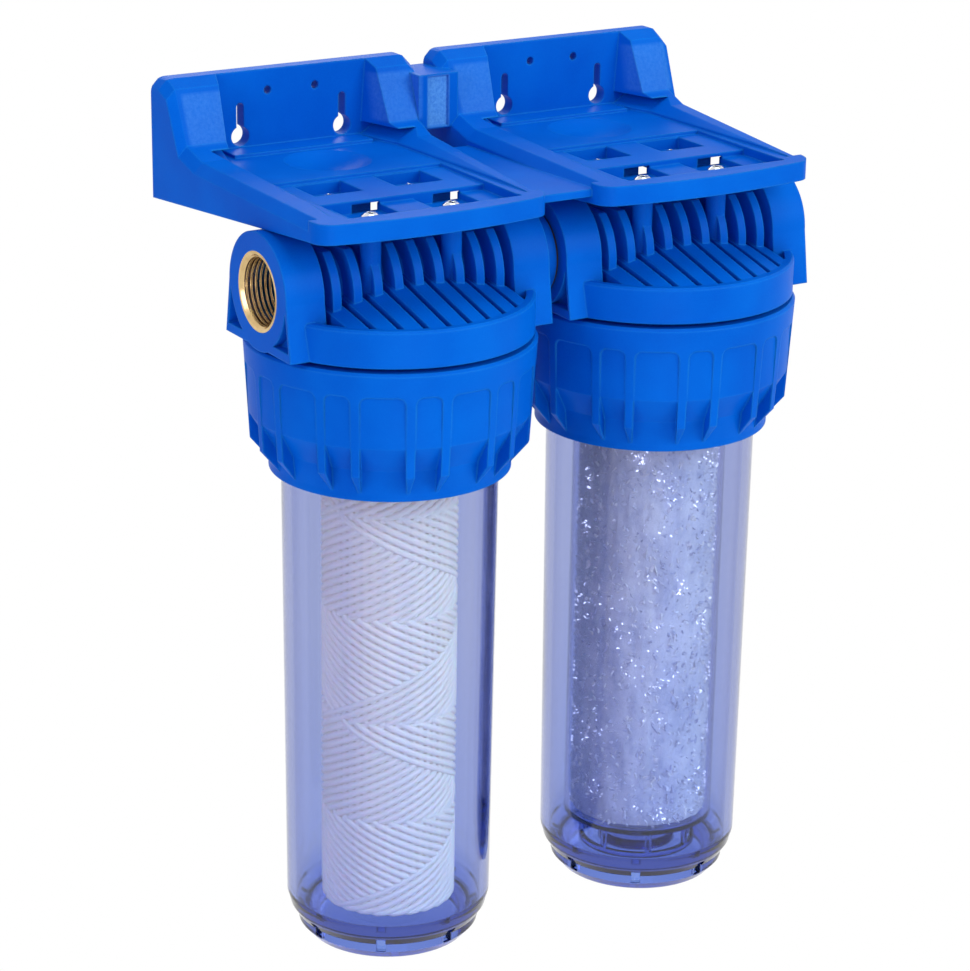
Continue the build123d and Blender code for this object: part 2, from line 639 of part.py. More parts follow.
def head():
    """One head: band, deck cut into fins, port blocks, water ways, spigot and skirt."""
    full = turned([(0, DECK_TOP), (DECK_R, -BAND_DROP), (DECK_R, BAND_BOTTOM), (0, BAND_BOTTOM)])
    floor = [(0, DECK_TOP - SLOT_DEPTH), (DECK_R, -BAND_DROP - SLOT_DEPTH), (DECK_R, BAND_BOTTOM)]
    low = turned([*floor, (0, BAND_BOTTOM)])
    arch = Pos(0, -FIN_ARCH_DROP) * Circle(FIN_ARCH_R)
    arch += Pos(0, -FIN_ARCH_DROP - FIN_ARCH_R / 2) * Rectangle(2 * FIN_ARCH_R, FIN_ARCH_R)
    arch = prism_x(arch, -FIN_FIELD / 2, FIN_FIELD / 2)
    arch &= block(-BAND_R, BAND_R, -BAND_R, BAND_R, BAND_BOTTOM, -FIN_CREST_DROP)
    fins = [wide & full for wide in fin_slabs(FIN_T)]
    fins += [slim & arch for slim in fin_slabs(FIN_T - FIN_SLIM)]
    band = turned([
        (DECK_R, -BAND_DROP),
        (BAND_R - BAND_EDGE, -BAND_DROP),
        (BAND_R, -BAND_DROP - BAND_EDGE),
        (BAND_R, BAND_BOTTOM),
        (DECK_R, BAND_BOTTOM),
    ])
    hub = rod_x(HUB_R, -FIN_FIELD / 2, FIN_FIELD / 2, -PORT_DROP)
    hub += block(-FIN_FIELD / 2, FIN_FIELD / 2, -HUB_R, HUB_R, BAND_BOTTOM, -PORT_DROP)
    body = low + band + hub + port_blocks()
    for fin in fins:
        body += fin
    for sx, sy in SCREW_SIGNS:
        body += rod_z(BOSS_R, BAND_BOTTOM, -CUP_FLOOR_T, sx * SCREW_DX / 2, sy * SCREW_DY / 2)
    body += turned([
        (SKIRT_BORE_R, BAND_BOTTOM),
        (SKIRT_R, BAND_BOTTOM),
        (SKIRT_R, -SKIRT_DROP + SKIRT_CHAMFER),
        (SKIRT_R - SKIRT_CHAMFER, -SKIRT_DROP),
        (SKIRT_BORE_R, -SKIRT_DROP),
    ])
    body += thread_bead(SKIRT_R, THREAD_PITCH, SKIRT_TURNS, THREAD_R, SKIRT_THREAD_FOOT)
    body -= rod_z(SKIRT_BORE_R, -SKIRT_DROP - OVERRUN, -ROOF_DROP)
    body += turned([
        (0, -ROOF_DROP),
        (SPIGOT_R, -ROOF_DROP),
        (SPIGOT_R, SEAL_FACE + SPIGOT_FLANGE_T),
        (GASKET_R, SEAL_FACE + SPIGOT_FLANGE_T),
        (GASKET_R, SEAL_FACE),
        (SPIGOT_R, SEAL_FACE),
        (SPIGOT_R, SEAL_FACE - SPIGOT_NOSE),
        (0, SEAL_FACE - SPIGOT_NOSE),
    ])
    body -= rod_z(SPIGOT_BORE_R, SEAL_FACE - SPIGOT_NOSE - OVERRUN, -PORT_DROP)
    body -= rod_x(WAY_R, -WAY_R, PORT_FACE + OVERRUN, -PORT_DROP)
    body -= rod_x(WAY_R, -PORT_FACE - OVERRUN, -INLET_DROP_IN, -PORT_DROP)
    body -= rod_z(INLET_DROP_R, -ROOF_DROP - OVERRUN, -PORT_DROP, -INLET_DROP_IN)
    for sign in (-1, 1):
        for r, depth in ((INSERT_FACE_R, INSERT_FACE_T), (INSERT_R, INSERT_L)):
            near = PORT_FACE - INSERT_FACE_T if r == INSERT_R else PORT_FACE + OVERRUN
            ends = sorted((sign * (PORT_FACE - depth), sign * near))
            body -= rod_x(r, ends[0], ends[1], -PORT_DROP)
    for sx, sy in SCREW_SIGNS:
        body -= rod_z(SCREW_R, -SCREW_L, 0, sx * SCREW_DX / 2, sy * SCREW_DY / 2)
    return body


def pipe_insert():
    """A brass insert with its face at x = 0 and its thread running to -X."""
    minor_r = PIPE_MAJOR_R - PIPE_DEPTH
    bore = turned([
        (0, -INSERT_L - OVERRUN),
        (minor_r, -INSERT_L - OVERRUN),
        (minor_r, -PIPE_MOUTH),
        (PIPE_MAJOR_R, 0),
        (PIPE_MAJOR_R, OVERRUN),
        (0, OVERRUN),
    ])
    turns = math.ceil((INSERT_L + 2 * PIPE_ROUND_R) / PIPE_PITCH)
    groove_r = minor_r + PIPE_ROUND_R / 2
    groove = thread_bead(groove_r, PIPE_PITCH, turns, PIPE_ROUND_R, -INSERT_L - PIPE_ROUND_R)
    outside = turned([
        (0, 0),
        (INSERT_FACE_R, 0),
        (INSERT_FACE_R, -INSERT_FACE_T),
        (INSERT_R, -INSERT_FACE_T),
        (INSERT_R, -INSERT_L / 2),
        (INSERT_R - INSERT_GROOVE, -INSERT_L / 2),
        (INSERT_R - INSERT_GROOVE, -INSERT_L / 2 - INSERT_FACE_T),
        (INSERT_R, -INSERT_L / 2 - INSERT_FACE_T),
        (INSERT_R, -INSERT_L),
        (0, -INSERT_L),
    ])
    return Rot(0, 90, 0) * (outside - bore - groove)


def inserts():
    """The inlet and outlet inserts of one unit, in its port faces."""
    insert = pipe_insert()
    outlet = Pos(PORT_FACE, 0, -PORT_DROP) * insert
    inlet = Pos(-PORT_FACE, 0, -PORT_DROP) * Rot(0, 0, 180) * insert
    return inlet, outlet


def link_pieces():
    """The nipple between the heads and the two washers beside its collar."""
    gap = PITCH / 2 - PORT_FACE
    collar_half = gap - WASHER_T
    thread_r = PIPE_MAJOR_R - PIPE_DEPTH - NIPPLE_FIT
    reach = gap + NIPPLE_GRIP
    z = -PORT_DROP
    nipple = rod_x(thread_r, -reach, reach, z) + rod_x(COLLAR_R, -collar_half, collar_half, z)
    nipple -= rod_x(WAY_R, -reach - OVERRUN, reach + OVERRUN, z)
    washers = []
    for sign in (-1, 1):
        ends = sorted((sign * collar_half, sign * gap))
        washer = rod_x(WASHER_R, ends[0], ends[1], z) - rod_x(thread_r, ends[0], ends[1], z)
        washers.append(washer)
    middle = Pos(0, -AXIS_OUT, -SEAT_DROP)
    return middle * nipple, [middle * washer for washer in washers]


def panel_window(width_deg):
    """A round-cornered window that looks out along +X, as wide as one nut panel."""
    width = 2 * NUT_R * math.sin(math.radians(width_deg / 2))
    bottom = NUT_FOOT - PANEL_CORNER_R - OVERRUN
    outline = RectangleRounded(width, PANEL_TOP - bottom, PANEL_CORNER_R)
    face = Pos(0, (PANEL_TOP + bottom) / 2) * outline
    return prism_x(face, 0, NUT_R + OVERRUN)


def ring_nut():
    """One ring nut: ribs between round-topped panels, over a cone that closes on the bowl."""
    outline = [
        (NUT_EYE_R, NUT_FOOT),
        (NUT_FOOT_R, NUT_FOOT),
        (NUT_FOOT_R, NUT_FOOT + NUT_FOOT_H),
        (NUT_WAIST_R, NUT_FOOT + NUT_CONE_H),
        (NUT_R, NUT_TOP - NUT_TOP_EDGE),
        (NUT_R - NUT_TOP_EDGE, NUT_TOP),
        (NUT_BORE_R, NUT_TOP),
        (NUT_BORE_R, NUT_STEP),
        (BOWL_FLANGE_R + BOWL_PLAY, NUT_STEP - NUT_STEP_H),
        (BOWL_FLANGE_R + BOWL_PLAY, NUT_SHOULDER),
        (NUT_EYE_R, NUT_SHOULDER),
    ]
    nut = turned(outline) + thread_bead(NUT_BORE_R, THREAD_PITCH, NUT_TURNS, THREAD_R, NUT_THREAD_FOOT)
    beyond = NUT_R + OVERRUN
    skin = turned([
        (beyond, PANEL_TOP + PANEL_CORNER_R),
        (NUT_R - PANEL_DEPTH, PANEL_TOP + PANEL_CORNER_R),
        (NUT_WAIST_R + PANEL_DEPTH / 2, NUT_FOOT + PANEL_LOW_H),
        (NUT_FOOT_R + PANEL_FLARE, NUT_FOOT + PANEL_CONE_H),
        (NUT_FOOT_R, NUT_FOOT + NUT_FOOT_H),
        (beyond, NUT_FOOT + NUT_FOOT_H),
    ])
    step = 360 / PANEL_PAIRS
    rib = (step - PANEL_WIDE_DEG - PANEL_NARROW_DEG) / 2
    narrow_at = (PANEL_WIDE_DEG + PANEL_NARROW_DEG) / 2 + rib
    wide_cut = panel_window(PANEL_WIDE_DEG) & skin
    narrow_cut = panel_window(PANEL_NARROW_DEG) & skin
    for i in range(PANEL_PAIRS):
        turn = PANEL_TURN_DEG + i * step
        nut -= Rot(0, 0, turn) * wide_cut
        nut -= Rot(0, 0, turn + narrow_at) * narrow_cut
    return nut


def bowl():
    """One clear bowl, with its flange at the top and grip notches round its base."""
    bore_foot_r = BOWL_FOOT_R - BOWL_FOOT_WALL
    ridge_r = CORE_BORE_R - BOWL_PLAY
    rim_bore_r = BOWL_RIM_R - BOWL_RIM_T
    outline = [
        (0, BOWL_FLOOR - BOWL_BASE_T),
        (rim_bore_r, BOWL_FLOOR - BOWL_BASE_T),
        (rim_bore_r, BOWL_FLOOR - BOWL_RIM_DOWN),
        (BOWL_RIM_R, BOWL_FLOOR - BOWL_RIM_DOWN),
        (BOWL_LUG_R, BOWL_FLOOR - BOWL_LUG_DOWN),
        (BOWL_LUG_R, BOWL_FLOOR - BOWL_SHOULDER_DOWN),
        (BOWL_SHOULDER_R, BOWL_FLOOR - BOWL_SHOULDER_DOWN),
        (BOWL_FOOT_R - BOWL_KNEE_IN, BOWL_FLOOR + BOWL_KNEE_UP),
        (BOWL_FOOT_R, BOWL_FLOOR + BOWL_SIDE_UP),
        (BOWL_NECK_R, FLANGE_UNDER),
        (BOWL_FLANGE_R, FLANGE_UNDER),
        (BOWL_FLANGE_R, -BOWL_TOP_DROP),
        (BOWL_BORE_R, -BOWL_TOP_DROP),
        (bore_foot_r, BOWL_FLOOR + BOWL_FLOOR_ROUND),
        (bore_foot_r - BOWL_FLOOR_ROUND, BOWL_FLOOR),
        (ridge_r + RIDGE_W, BOWL_FLOOR),
        (ridge_r + RIDGE_W, CART_BOTTOM),
        (ridge_r, CART_BOTTOM),
        (ridge_r - RIDGE_W / 2, CART_BOTTOM + RIDGE_H),
        (0, CART_BOTTOM + RIDGE_H),
    ]
    cup = turned(outline)
    groove = SEAL_R + SEAL_PLAY
    cup -= turned([
        (SEAL_RING_R - groove, -BOWL_TOP_DROP + OVERRUN),
        (SEAL_RING_R + groove, -BOWL_TOP_DROP + OVERRUN),
        (SEAL_RING_R + groove, -SKIRT_DROP - 2 * SEAL_R),
        (SEAL_RING_R - groove, -SKIRT_DROP - 2 * SEAL_R),
    ])
    notch = block(BOWL_LUG_R - NOTCH_DEPTH, BOWL_FOOT_R + OVERRUN, -NOTCH_W / 2, NOTCH_W / 2,
                  BOWL_FLOOR - BOWL_LUG_DOWN, BOWL_FLOOR - BOWL_SHOULDER_DOWN + NOTCH_DEPTH)
    for i in range(NOTCH_COUNT):
        cup -= Rot(0, 0, NOTCH_TURN_DEG + i * 360 / NOTCH_COUNT) * notch
    return cup


def bowl_seal():
    """The seal ring in the groove of a bowl's flange."""
    return Pos(0, 0, -SKIRT_DROP - SEAL_R) * Torus(SEAL_RING_R, SEAL_R)


def gasket(bore_r, outer_r, z0, z1):
    """A flat ring."""
    return rod_z(outer_r, z0, z1) - rod_z(bore_r, z0, z1)


def cartridge_core():
    """The perforated tube that the string is wound on."""
    core_r = CORE_BORE_R + CORE_T
    tube = gasket(CORE_BORE_R, core_r, CART_BOTTOM, CART_TOP)
    row_gap = CART_L / (CORE_HOLE_ROWS + 1)
    drills = []
    for row in range(CORE_HOLE_ROWS):
        z = CART_BOTTOM + (row + 1) * row_gap
        for k in range(CORE_HOLE_ANGLES // 2):
            turn = (k + row % 2 / 2) * 360 / CORE_HOLE_ANGLES
            reach = core_r + OVERRUN
            drills.append(Rot(0, 0, turn) * rod_x(CORE_HOLE_R, -reach, reach, z))
    return tube - drills


def cord_layers():
    """Radii of the two crossing layers of the outer winding: inner, then outer."""
    outer = STRING_R - CORD_R
    return outer - 2 * CORD_R - CORD_GAP, outer


def cord_point(s):
    """A point of the winding at s passes along it, as (angle in turns, radius, height)."""
    inner, outer = cord_layers()
    middle = (inner + outer) / 2
    bend = CORD_BEND_SHARE
    low = CART_BOTTOM + CORD_END_IN
    high = CART_TOP - CORD_END_IN
    k = min(int(s), CORD_PASSES - 1)
    u = s - k
    edge = min(u, 1 - u)
    if edge < bend:
        done = edge * edge / (2 * bend)
        reach = 0.5 + edge / bend * (1 - edge / (2 * bend))
    else:
        done = edge - bend / 2
        reach = 1.0
    travel = done / (1 - bend)
    travel = travel if u <= 0.5 else 1 - travel
    down = k % 2 == 0
    layer = inner if down else outer
    radius = middle + (layer - middle) * (2 * reach - 1)
    z = high + (low - high) * (travel if down else 1 - travel)
    return s * CORD_TURNS / CORD_PASSES, radius, z


def cord_place(s):
    """The winding's point at s, as a vector."""
    turn, radius, z = cord_point(s)
    angle = 2 * math.pi * turn
    return Vector(radius * math.cos(angle), radius * math.sin(angle), z)


def cord_heading(s):
    """The winding's direction at s."""
    step = CORD_BEND_SHARE / 100
    return (cord_place(min(s + step, CORD_PASSES)) - cord_place(max(s - step, 0))).normalized()


def cord_stations():
    """Where the winding is cut into spans: at each end bend, and evenly between."""
    stations = []
    straight = (1 - 2 * CORD_BEND_SHARE) / CORD_SPANS
    for k in range(CORD_PASSES):
        stations += [k + CORD_BEND_SHARE + i * straight for i in range(CORD_SPANS + 1)]
        stations.append(k + 1.0)
    return stations[:-1]


def cord_track():
    """The winding's centre line: arcs, with a straight end of one cord's width at each end."""
    stations = cord_stations()
    first = stations[0]
    last = stations[-1]
    start = cord_place(first)
    finish = cord_place(last)
    tail = 2 * CORD_R
    arcs = [Line(start - cord_heading(first) * tail, start)]
    for a, b in zip(stations[:-1], stations[1:]):
        arcs += biarc(cord_place(a), cord_heading(a), cord_place(b), cord_heading(b))
    arcs.append(Line(finish, finish + cord_heading(last) * tail))
    return arcs


def cord_gap(track):
    """The least gap of the winding to itself, measured on points along it."""
    step = CORD_R / 2
    cell = 4 * CORD_R
    near = int(8 * CORD_R / step)
    points = []
    for arc in track:
        count = max(2, int(arc.length / step))
        points += [tuple(arc @ (i / count)) for i in range(count)]
    cells = {}
    least = cell
    for i, p in enumerate(points):
        home = [math.floor(v / cell) for v in p]
        for dx in (-1, 0, 1):
            for dy in (-1, 0, 1):
                for dz in (-1, 0, 1):
                    for j in cells.get((home[0] + dx, home[1] + dy, home[2] + dz), []):
                        if i - j > near:
                            least = min(least, math.dist(p, points[j]))
        cells.setdefault(tuple(home), []).append(i)
    return least - 2 * CORD_R


def cord_winding():
    """The outer layer of string: one tube that runs down and up between the ends."""
    track = cord_track()
    winding = tube_along(track, CORD_R)
    length = sum(arc.length for arc in track)
    share = winding.volume / (length * math.pi * CORD_R ** 2)
    print("winding: least gap to itself", round(cord_gap(track), 2), "mm; volume share", round(share, 4))
    return winding


def string_sleeve():
    """The inner layers of the string, as a plain sleeve round the core."""
    inner, outer = cord_layers()
    return gasket(CORE_BORE_R + CORE_T, inner - CORD_R - CORD_BED, CART_BOTTOM, CART_TOP)


def crystal_container():
    """The clear container: a tube with a floor, on a foot with windows."""
    floor_z = BOX_FLOOR
    tube = gasket(BOX_R - BOX_WALL, BOX_R, floor_z, CART_TOP - BOX_CAP_T)
    tube += gasket(PIPE_R, BOX_R, floor_z, floor_z + BOX_FLOOR_T)
    foot_z = BOWL_FLOOR
    foot = gasket(BOX_FOOT_R - BOX_FOOT_WALL, BOX_FOOT_R, foot_z, floor_z)
    side = 2 * math.pi * BOX_FOOT_R / FOOT_POSTS - FOOT_POST_W
    window = block(0, BOX_FOOT_R + OVERRUN, -side / 2, side / 2, foot_z + FOOT_RAIL, floor_z - FOOT_RAIL)
    for i in range(FOOT_POSTS):
        foot -= Rot(0, 0, i * 360 / FOOT_POSTS) * window
    return tube + foot


def container_cap():
    """The container's lid: a socket for the spigot above, a collar in the tube below."""
    under = CART_TOP - BOX_CAP_T
    socket_z = under + BOX_CAP_FLOOR_T
    cap = gasket(PIPE_R, BOX_R, under, CART_TOP)
    cap -= rod_z(SPIGOT_R + BOWL_PLAY, socket_z, CART_TOP + OVERRUN)
    cap += gasket(BOX_R - 2 * BOX_WALL, BOX_R - BOX_WALL, under - BOX_CAP_LIP, under)
    return cap


def container_pipe():
    """The standpipe up the middle of the container."""
    return gasket(PIPE_R - PIPE_WALL, PIPE_R, BOX_FLOOR, CART_TOP - BOX_CAP_T + BOX_CAP_FLOOR_T)


def crystal_charge():
    """The crystals, as one ring of fill round the standpipe."""
    low = BOX_FLOOR + BOX_FLOOR_T
    high = CART_TOP - BOX_CAP_T - BOX_CAP_LIP - CHARGE_TOP_GAP
    return gasket(PIPE_R + CHARGE_PLAY, BOX_R - BOX_WALL - CHARGE_PLAY, low, high)


def save(name, solids):
    """Writes one node."""
    if isinstance(solids, (list, tuple)):
        solids = Compound(children=list(solids))
    export_step(solids, f"parts/{name}.step")


def main():
    save("wall_bracket", wall_bracket())
    nipple, washers = link_pieces()
    save("link_nipple", nipple)
    save("link_washers", washers)
    one_head = head()
    one_nut = ring_nut()
    one_bowl = bowl()
    screws = bracket_screws()
    inlet, outlet = inserts()
    for side in SIDES:
        save(f"{side}_head", place(one_head, side))
        save(f"{side}_bracket_screws", [place(screw, side) for screw in screws])
        save(f"{side}_inlet_insert", place(inlet, side))
        save(f"{side}_outlet_insert", place(outlet, side))
        save(f"{side}_ring_nut", place(one_nut, side))
        save(f"{side}_bowl", place(one_bowl, side))
        save(f"{side}_bowl_seal", place(bowl_seal(), side))
    save("left_cartridge_core", place(cartridge_core(), "left"))
    save("left_string_sleeve", place(string_sleeve(), "left"))
    save("left_string_winding", place(cord_winding(), "left"))
    top_gasket = gasket(SPIGOT_R + BOWL_PLAY, GASKET_R, CART_TOP, SEAL_FACE)
    save("left_cartridge_gasket", place(top_gasket, "left"))
    save("right_crystal_container", place(crystal_container(), "right"))
    save("right_container_cap", place(container_cap(), "right"))
    save("right_container_pipe", place(container_pipe(), "right"))
    save("right_container_gasket", place(top_gasket, "right"))
    save("right_crystal_charge", place(crystal_charge(), "right"))


main()
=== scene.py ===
import bpy
import bmesh
import json
import math
import numpy as np
from mathutils import Matrix, Vector


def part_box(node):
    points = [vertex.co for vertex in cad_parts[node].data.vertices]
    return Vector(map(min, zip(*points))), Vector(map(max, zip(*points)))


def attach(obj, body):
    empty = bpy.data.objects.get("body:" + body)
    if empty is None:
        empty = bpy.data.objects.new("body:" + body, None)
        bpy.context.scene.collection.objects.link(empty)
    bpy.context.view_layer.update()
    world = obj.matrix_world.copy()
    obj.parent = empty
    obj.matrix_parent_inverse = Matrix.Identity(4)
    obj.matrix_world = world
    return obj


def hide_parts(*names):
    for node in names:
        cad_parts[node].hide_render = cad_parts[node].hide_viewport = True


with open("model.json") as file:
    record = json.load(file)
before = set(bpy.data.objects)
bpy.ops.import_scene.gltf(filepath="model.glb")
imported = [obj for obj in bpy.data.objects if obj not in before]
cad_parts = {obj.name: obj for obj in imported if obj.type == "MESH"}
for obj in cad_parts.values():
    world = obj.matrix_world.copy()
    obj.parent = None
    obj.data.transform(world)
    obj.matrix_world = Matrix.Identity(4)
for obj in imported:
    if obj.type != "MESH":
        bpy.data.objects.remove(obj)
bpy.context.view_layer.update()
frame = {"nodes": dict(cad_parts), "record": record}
nodes = frame["nodes"]

# All lengths are in metres, angles in degrees and lamp powers in watts.
# Upright axes of the two filter units
AXIS_X = 0.071
AXIS_Y = -0.100
LEFT_AXIS = (-AXIS_X, AXIS_Y, 0.0)
RIGHT_AXIS = (AXIS_X, AXIS_Y, 0.0)

# Camera
CAMERA_AZIMUTH = -31.59
CAMERA_ELEVATION = 19.37
CAMERA_ROLL = 0.87
CAMERA_LENS_MM = 115.03
CAMERA_SENSOR_MM = 36.0
CAMERA_PLACE = (-0.72976, -1.25362, 0.30841)
CAMERA_REACH = 20.0


def link(obj):
    bpy.context.scene.collection.objects.link(obj)
    return obj


def make_camera():
    azimuth = math.radians(CAMERA_AZIMUTH)
    elevation = math.radians(CAMERA_ELEVATION)
    roll = math.radians(CAMERA_ROLL)
    back = Vector((math.sin(azimuth) * math.cos(elevation),
                   -math.cos(azimuth) * math.cos(elevation),
                   math.sin(elevation)))
    right = (-back).cross(Vector((0, 0, 1))).normalized()
    up = right.cross(-back)
    rolled_right = math.cos(roll) * right + math.sin(roll) * up
    rolled_up = -math.sin(roll) * right + math.cos(roll) * up
    data = bpy.data.cameras.new("camera")
    data.lens = CAMERA_LENS_MM
    data.sensor_width = CAMERA_SENSOR_MM
    data.clip_end = CAMERA_REACH
    camera = link(bpy.data.objects.new("camera", data))
    place = Matrix((rolled_right, rolled_up, back)).transposed().to_4x4()
    place.translation = Vector(CAMERA_PLACE)
    camera.matrix_world = place
    bpy.context.scene.camera = camera


make_camera()
bpy.context.scene.view_settings.view_transform = "Standard"


# Node trees
class Tree:
    """A node tree with short ways to add and join nodes."""

    def __init__(self, tree, out_kind):
        self.tree = tree
        self.tree.nodes.clear()
        self.out = self.tree.nodes.new(out_kind)

    def add(self, kind, **values):
        node = self.tree.nodes.new(kind)
        for key, value in values.items():
            node.inputs[key.replace("_", " ")].default_value = value
        return node

    def join(self, a, b):
        self.tree.links.new(a, b)

    def feed(self, value, socket):
        """Join an output to the socket, or set the socket to a constant."""
        if isinstance(value, (int, float, tuple)):
            socket.default_value = value
        else:
            self.join(value, socket)

    def math(self, operation, a, b):
        node = self.add("ShaderNodeMath")
        node.operation = operation
        self.feed(a, node.inputs[0])
        self.feed(b, node.inputs[1])
        return node.outputs[0]

    def blend(self, share, first, second):
        """Two shaders mixed by the share, and joined to the output's surface."""
        mix = self.add("ShaderNodeMixShader")
        self.join(share, mix.inputs[0])
        self.join(first.outputs[0], mix.inputs[1])
        self.join(second.outputs[0], mix.inputs[2])
        self.join(mix.outputs[0], self.out.inputs["Surface"])

    def background_share(self):
        """1 for camera, mirror and glass rays, which see the white background."""
        path = self.add("ShaderNodeLightPath")
        seen = self.math("MAXIMUM", path.outputs["Is Camera Ray"], path.outputs["Is Glossy Ray"])
        return self.math("MAXIMUM", seen, path.outputs["Is Transmission Ray"])


class Shader(Tree):
    """The node tree of a new material."""

    def __init__(self, name):
        self.material = bpy.data.materials.new(name)
        self.material.use_nodes = True
        super().__init__(self.material.node_tree, "ShaderNodeOutputMaterial")

    def principled(self, **values):
        node = self.add("ShaderNodeBsdfPrincipled", **values)
        self.join(node.outputs[0], self.out.inputs["Surface"])
        return node

    def finish(self, shader, base, rough, normal):
        self.join(base, shader.inputs["Base Color"])
        self.join(rough, shader.inputs["Roughness"])
        self.join(normal, shader.inputs["Normal"])
        return self.material

    def place(self, scale=(1, 1, 1), source="Object"):
        coord = self.add("ShaderNodeTexCoord")
        mapping = self.add("ShaderNodeMapping", Scale=scale)
        self.join(coord.outputs[source], mapping.inputs["Vector"])
        return mapping.outputs[0]

    def noise(self, vector, scale, detail=3.0, rough=0.55):
        """Noise whose grains are about 1 / scale metres wide."""
        node = self.add("ShaderNodeTexNoise", Scale=scale, Detail=detail, Roughness=rough)
        self.join(vector, node.inputs["Vector"])
        return node.outputs["Fac"]

    def remap(self, value, low, high, out_low, out_high):
        node = self.add("ShaderNodeMapRange", From_Min=low, From_Max=high, To_Min=out_low, To_Max=out_high)
        self.join(value, node.inputs["Value"])
        return node.outputs[0]

    def mix(self, factor, a, b):
        node = self.add("ShaderNodeMix")
        node.data_type = "RGBA"
        for socket, value in ((node.inputs[0], factor), (node.inputs[6], a), (node.inputs[7], b)):
            self.feed(value, socket)
        return node.outputs[2]

    def bump(self, height, strength, distance, normal=None):
        node = self.add("ShaderNodeBump", Strength=strength, Distance=distance)
        self.join(height, node.inputs["Height"])
        if normal is not None:
            self.join(normal, node.inputs["Normal"])
        return node.outputs[0]

    def in_box(self, low, high, soft):
        """1 inside a box of object space, 0 outside it."""
        parts = self.add("ShaderNodeSeparateXYZ")
        self.join(self.add("ShaderNodeTexCoord").outputs["Object"], parts.inputs[0])
        inside = None
        for i in range(3):
            middle = (low[i] + high[i]) / 2
            half = (high[i] - low[i]) / 2
            away = self.math("ABSOLUTE", self.math("SUBTRACT", parts.outputs[i], middle), 0.0)
            near = self.remap(away, half - soft, half + soft, 1.0, 0.0)
            inside = near if inside is None else self.math("MULTIPLY", inside, near)
        return inside

    def soft_edges(self, radius):
        """A normal rounded at the edges, and a mask that is 1 on the edges, by which highlights and shade
        are painted there.
        """
        bevel = self.add("ShaderNodeBevel", Radius=radius)
        bevel.samples = 4
        geometry = self.add("ShaderNodeNewGeometry")
        dot = self.add("ShaderNodeVectorMath")
        dot.operation = "DOT_PRODUCT"
        self.join(bevel.outputs[0], dot.inputs[0])
        self.join(geometry.outputs["Normal"], dot.inputs[1])
        mask = self.remap(dot.outputs["Value"], 1.0, 0.8, 0.0, 1.0)
        return bevel.outputs[0], mask


def rgba(r, g, b):
    return (r, g, b, 1.0)


WHITE = rgba(1.0, 1.0, 1.0)

# Blue moulded plastic
BLUE_DEEP = rgba(0.0, 0.084, 0.52)
BLUE_LIGHT = rgba(0.0, 0.110, 0.59)
BLUE_GRAIN = rgba(0.003, 0.18, 0.66)
# Paler blue painted on the edges as a highlight
BLUE_EDGE_HIGHLIGHT = rgba(0.02, 0.29, 0.82)
# Paler blue painted on the pads as a sheen
BLUE_PAD_SHEEN = rgba(0.12, 0.36, 0.80)
BLUE_EDGE_R = 0.0013
BLUE_GRAIN_H = 0.0004
PAD_GRIT_H = 0.0008
PAD_SOFT = 0.0008


def blue_plastic(name, pads=()):
    """Moulded plastic, with painted highlights on its edges; pads are boxes, (low corner, high corner,
    amount), with a coarser grain and a paler, painted sheen.
    """
    s = Shader(name)
    shader = s.principled(Specular_IOR_Level=0.025, IOR=1.5)
    where = s.place()
    broad = s.noise(where, 28.0, 2.0)
    fine = s.noise(where, 1500.0, 2.0, 0.6)
    normal, painted_edge = s.soft_edges(BLUE_EDGE_R)
    base = s.mix(s.remap(broad, 0.3, 0.7, 0.0, 1.0), BLUE_DEEP, BLUE_LIGHT)
    base = s.mix(s.remap(fine, 0.4, 0.75, 0.0, 0.16), base, BLUE_GRAIN)
    # Painted highlight: the edges are mixed towards a paler blue.
    base = s.mix(s.math("MULTIPLY", painted_edge, 0.45), base, BLUE_EDGE_HIGHLIGHT)
    rough = s.remap(broad, 0.3, 0.7, 0.34, 0.42)
    normal = s.bump(fine, 0.10, BLUE_GRAIN_H, normal)
    if pads:
        grit = s.noise(where, 620.0, 3.0, 0.7)
        inside = None
        for low, high, amount in pads:
            part = s.math("MULTIPLY", s.in_box(low, high, PAD_SOFT), amount)
            inside = part if inside is None else s.math("MAXIMUM", inside, part)
        # Painted sheen: inside the pads the grit mixes the colour towards a paler blue.
        pale_sheen = s.math("MULTIPLY", inside, s.remap(grit, 0.35, 0.65, 0.55, 1.0))
        base = s.mix(pale_sheen, base, BLUE_PAD_SHEEN)
        normal = s.bump(s.math("MULTIPLY", grit, inside), 0.5, PAD_GRIT_H, normal)
    return s.finish(shader, base, rough, normal)


# Brass and steel
BRASS_LIGHT = rgba(0.84, 0.62, 0.32)
BRASS_DARK = rgba(0.50, 0.33, 0.13)
STEEL_LIGHT = rgba(0.86, 0.86, 0.88)
STEEL_DARK = rgba(0.60, 0.60, 0.62)
METAL_EDGE_R = 0.0003
METAL_LINE_H = 0.0002


def metal(name, light, dark, low, high, ring):
    """Turned metal, with painted highlights on its edges; low and high bound its roughness, and ring is
    how close the tool lines lie.
    """
    s = Shader(name)
    shader = s.principled(Metallic=1.0)
    where = s.place()
    broad = s.noise(where, 60.0, 3.0)
    lines = s.noise(s.place((ring, 30.0, 30.0)), 40.0, 2.0)
    normal, painted_edge = s.soft_edges(METAL_EDGE_R)
    base = s.mix(s.remap(broad, 0.3, 0.7, 0.0, 1.0), dark, light)
    # Painted highlight: the edges are mixed towards the light colour.
    base = s.mix(s.math("MULTIPLY", painted_edge, 0.5), base, light)
    rough = s.remap(lines, 0.3, 0.7, low, high)
    return s.finish(shader, base, rough, s.bump(lines, 0.12, METAL_LINE_H, normal))


# Rubber seals and the matt white core
RUBBER_DARK = rgba(0.012, 0.012, 0.014)
RUBBER_LIGHT = rgba(0.03, 0.03, 0.034)
CORE_DARK = rgba(0.80, 0.80, 0.82)
CORE_LIGHT = rgba(0.88, 0.88, 0.90)
FINE_GRAIN_H = 0.0002


